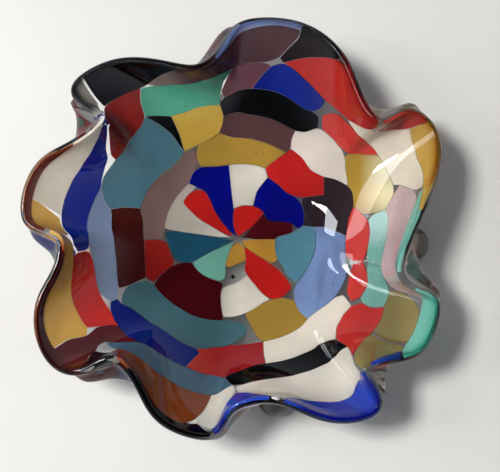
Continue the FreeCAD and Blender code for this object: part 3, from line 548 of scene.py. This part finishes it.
def clear_material(name, tint=None, wave=0.0006, clearness=1.0, index=GLASS_INDEX):
    """Clear glass with slow ripples; without a tint the colour comes from the mesh's lip colours."""
    material, tree, shader = start_material(name)
    place = coordinates(tree, (1, 1, 1), 0.0)
    ripple = add(tree, "ShaderNodeTexNoise", Scale=RIPPLE_SCALE, Detail=1.0, Roughness=0.4, Distortion=0.3)
    tree.links.new(place, ripple.inputs["Vector"])
    bump = add(tree, "ShaderNodeBump", Strength=RIPPLE_STRENGTH, Distance=wave)
    tree.links.new(ripple.outputs["Fac"], bump.inputs["Height"])
    tree.links.new(bump.outputs["Normal"], shader.inputs["Normal"])
    if tint:
        shader.inputs["Base Color"].default_value = linear(tint)
    else:
        strips = tree.nodes.new("ShaderNodeAttribute")
        strips.attribute_name = "lip_colour"
        tree.links.new(strips.outputs["Color"], shader.inputs["Base Color"])
    shader.inputs["Transmission Weight"].default_value = clearness
    shader.inputs["IOR"].default_value = index
    shader.inputs["Roughness"].default_value = GLASS_ROUGHNESS
    return material


# Looks of the tiles.  across gives the axis and the two places, in metres, between which the colour
# of a tile changes to its second colour.
# In most tiles the second colour is another glass; in white_wedges, white_lobe_west and
# turquoise_patches_east it is painted light, shade or reflection.
TILES = {
    # pinwheel and inner rings
    # painted shade: the white wedges are one white glass, painted darker (b4aca2) west of X -0.04 than
    # east of X 0 (dcd6cc)
    "white_wedges": dict(colour="b4aca2", second="dcd6cc", across=("X", -0.04, 0.0)),
    "blue_wedges": dict(colour="060c7c"),
    "red_wedges": dict(colour="b8201c"),
    "maroon_wedge_right": dict(colour="4c0c14"),
    "ochre_wedges": dict(colour="b68a38"),
    "turquoise_wedge": dict(colour="70a89a"),
    "teal_wedges": dict(colour="1e4e68", second="568496", across=("X", 0.0, 0.02)),
    "ochre_arc_top": dict(colour="aa8a3c"),
    "ochre_square_top": dict(colour="c4a448"),
    "mauve_arc_top": dict(colour="5c3e40"),
    "black_patches_north": dict(colour="07090b"),
    "white_patch_right": dict(colour="e6dcd2"),
    "red_bow": dict(colour="b82424"),
    "aubergine_patch": dict(colour="32282e"),
    "periwinkle_arc_right": dict(colour="7c92bc", stretch=(3, 1, 1), spread=0.2),
    "ochre_square_bottom": dict(colour="9e8038"),
    "white_arc_bottom": dict(colour="e2dace"),
    "maroon_patch_bottom": dict(colour="42060e"),
    "teal_arc_bottom": dict(colour="446670"),
    "red_patch_left": dict(colour="8c1c18"),
    "mauve_band_left": dict(colour="7c6460"),
    "teal_patch_left": dict(colour="527c8c"),
    "maroon_patch_left": dict(colour="40100e", second="5c2416", across=("Y", 0.0, 0.05)),
    "periwinkle_arc_left": dict(colour="8494b0"),
    "blue_arc_bottom": dict(colour="081c70"),
    "red_arc_bottom": dict(colour="a82c1c", second="961c20", across=("X", -0.03, 0.0)),
    "black_arc_bottom": dict(colour="08090a"),
    "maroon_patch_upper": dict(colour="8c2018"),
    "turquoise_arc_top": dict(colour="56a68e", second="3a7a6c", across=("X", -0.02, 0.02)),
    "blue_patch_top": dict(colour="12268a"),
    "red_patch_right": dict(colour="cc4038"),
    "rose_patches": dict(colour="7c4c5a", second="ccb4b4", across=("X", 0.06, 0.12)),
    "streaked_patch_right": dict(colour="b0903c", second="dcd4b0", across=("X", 0.115, 0.135),
                                 spread=0.3, scale=5.0, stretch=(1, 5, 1), turn=15.0, warp=0.5),
    "red_patches_east": dict(colour="c43c36"),
    # painted reflection: the turquoise glass (7cb0a6) is painted near-white (b8dcd8) north of Y 0, for the
    # hazy reflection on it
    "turquoise_patches_east": dict(colour="7cb0a6", second="b8dcd8", across=("Y", -0.02, 0.0)),
    "red_patch_south_east": dict(colour="bc302c"),
    "teal_arc_outer": dict(colour="48667a"),
    # lobes
    "mauve_lobe_north": dict(colour="84706a", second="583c40", across=("X", -0.055, -0.035)),
    "steel_rim_north": dict(colour="a8b0d0"),
    "dark_lobe_north": dict(colour="1e1012"),
    "red_lobe_north_east": dict(colour="b83028"),
    "white_lobe_east": dict(colour="e6dccc"),
    "ochre_rim_east": dict(colour="c8a450"),
    "turquoise_lobe_south_east": dict(colour="7cc0b2"),
    "olive_lobe_south_east": dict(colour="948450", spread=0.26, scale=5.0, stretch=(5, 1, 1),
                                  turn=35.0, warp=0.5),
    "white_lobe_south": dict(colour="e0dad0"),
    "blue_rims_south": dict(colour="2444b4"),
    "brown_lobes": dict(colour="80401e"),
    "black_rims": dict(colour="08080a"),
    "maroon_lobe_west": dict(colour="541014", second="6c3020", across=("Y", -0.11, -0.13)),
    "ochre_lobe_west": dict(colour="e0b45c", spread=0.16, scale=9.0, stretch=(3, 1, 1)),
    "red_lobe_west": dict(colour="c8302a"),
    "blue_band_west": dict(colour="162890"),
    # painted light and shade: one white glass, painted extra bright (f0e8d8) south of Y 0.08 to light the
    # dim left wall, and grey (a8a298) north of Y 0.10 as painted shade
    "white_lobe_west": dict(colour="f0e8d8", second="a8a298", across=("Y", 0.08, 0.10)),
}
for node, settings in TILES.items():
    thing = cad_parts[node]
    thing.data.materials.clear()
    thing.data.materials.append(tile_material(node + "_glass", **settings))
clear_look = clear_material("clear_casing")
body.data.materials.append(clear_look)
# painted light: the feet are clear glass; the warm tint and the small diffuse share stand in for the tile
# colours and light they refract
foot_look = clear_material("clear_foot", "f8dcc4", clearness=0.96)
for foot in feet:
    foot.data.materials.append(foot_look)

bubbles.data.materials.append(clear_material("air_in_glass", "f4f6f6", wave=0.00005, index=AIR_INDEX))
fleck.data.materials.append(tile_material("dark_fleck_look", "241c0c", spread=0.4, scale=400.0))

# ---------------------------------------------------------------- floor, light and camera
FLOOR_HALF_SIDE = 3.0
LENS = 69.84
SENSOR = 36.0
CAMERA_SHIFT = (0.024, 0.008)
CAMERA_ELEVATION = math.radians(81.0)
CAMERA_DISTANCE = 0.890
TARGET_HEIGHT = 0.020

floor_mesh = bpy.data.meshes.new("floor")
bm = bmesh.new()
bmesh.ops.create_grid(bm, x_segments=24, y_segments=24, size=FLOOR_HALF_SIDE)
bm.to_mesh(floor_mesh)
bm.free()
floor = bpy.data.objects.new("floor", floor_mesh)
bpy.context.collection.objects.link(floor)
floor_look, floor_tree, floor_shader = start_material("pale_floor")
grain = add(floor_tree, "ShaderNodeTexNoise", Scale=3.0, Detail=4.0, Roughness=0.5)
floor_place = coordinates(floor_tree, (1, 1, 1), 0.0)
floor_tree.links.new(floor_place, grain.inputs["Vector"])
floor_tree.links.new(ramp_of(floor_tree, grain.outputs["Fac"], [(0.3, "b4b2af"), (0.7, "babab8")]),
                     floor_shader.inputs["Base Color"])
floor_shader.inputs["Roughness"].default_value = 0.7
floor.data.materials.append(floor_look)

world = bpy.data.worlds.new("studio")
bpy.context.scene.world = world
world.use_nodes = True
background = world.node_tree.nodes["Background"]
sky_place = world.node_tree.nodes.new("ShaderNodeTexCoord")
sky_split = world.node_tree.nodes.new("ShaderNodeSeparateXYZ")
world.node_tree.links.new(sky_place.outputs["Generated"], sky_split.inputs["Vector"])
world.node_tree.links.new(ramp_of(world.node_tree, sky_split.outputs["Z"],
                                  [(0.0, "e8ecf4"), (0.45, "b4b8c4"), (0.8, "3c3e44"), (1.0, "2c2c30")]),
                          background.inputs["Color"])
background.inputs["Strength"].default_value = 0.75


def soft_box(name, place, size, power, colour, mirrored):
    """Area light that faces the bowl."""
    light = bpy.data.lights.new(name, "AREA")
    light.shape = "RECTANGLE"
    light.size, light.size_y = size
    light.energy = power
    light.color = colour
    thing = bpy.data.objects.new(name, light)
    bpy.context.collection.objects.link(thing)
    thing.location = place
    thing.visible_glossy = mirrored
    thing.rotation_euler = (-Vector(place)).to_track_quat("-Z", "Y").to_euler()


# Name, place, size, power, colour, and whether the glass mirrors it.
SOFT_BOXES = (
    ("key", (-0.95, 0.10, 2.05), (0.42, 0.42), 69, (1.0, 0.99, 0.96), False),
    ("window_pane", (-0.92, 0.30, 2.1), (0.13, 0.40), 2.2, (0.92, 0.96, 1.0), True),
    ("narrow_pane", (-0.62, 0.16, 2.2), (0.03, 0.30), 1.2, (1.0, 0.97, 0.90), True),
    ("bright_pane", (-1.55, -0.10, 1.55), (0.26, 0.34), 6.5, (0.97, 0.98, 1.0), True),
    ("hazy_window", (-1.70, 0.28, 1.45), (0.75, 0.70), 9.0, (0.95, 0.98, 1.0), True),
    ("low_window", (-1.9, 0.1, 0.95), (0.5, 0.7), 5, (0.95, 0.98, 1.0), True),
    ("fill", (0.3, 0.0, 2.4), (2.6, 2.6), 8.5, (0.98, 0.99, 1.0), False),
)
for row in SOFT_BOXES:
    soft_box(*row)

camera_data = bpy.data.cameras.new("camera")
camera = bpy.data.objects.new("camera", camera_data)
bpy.context.collection.objects.link(camera)
camera_data.lens = LENS
camera_data.sensor_width = SENSOR
camera_data.shift_x, camera_data.shift_y = CAMERA_SHIFT
camera_data.clip_start = 0.01
target = Vector((SHIFT[0] * MM, SHIFT[1] * MM, TARGET_HEIGHT))
towards_camera = Vector((0.0, -math.cos(CAMERA_ELEVATION), math.sin(CAMERA_ELEVATION)))
camera.location = target + towards_camera * CAMERA_DISTANCE
camera.rotation_euler = (target - camera.location).to_track_quat("-Z", "Y").to_euler()
bpy.context.scene.camera = camera
bpy.context.scene.view_settings.view_transform = "Standard"
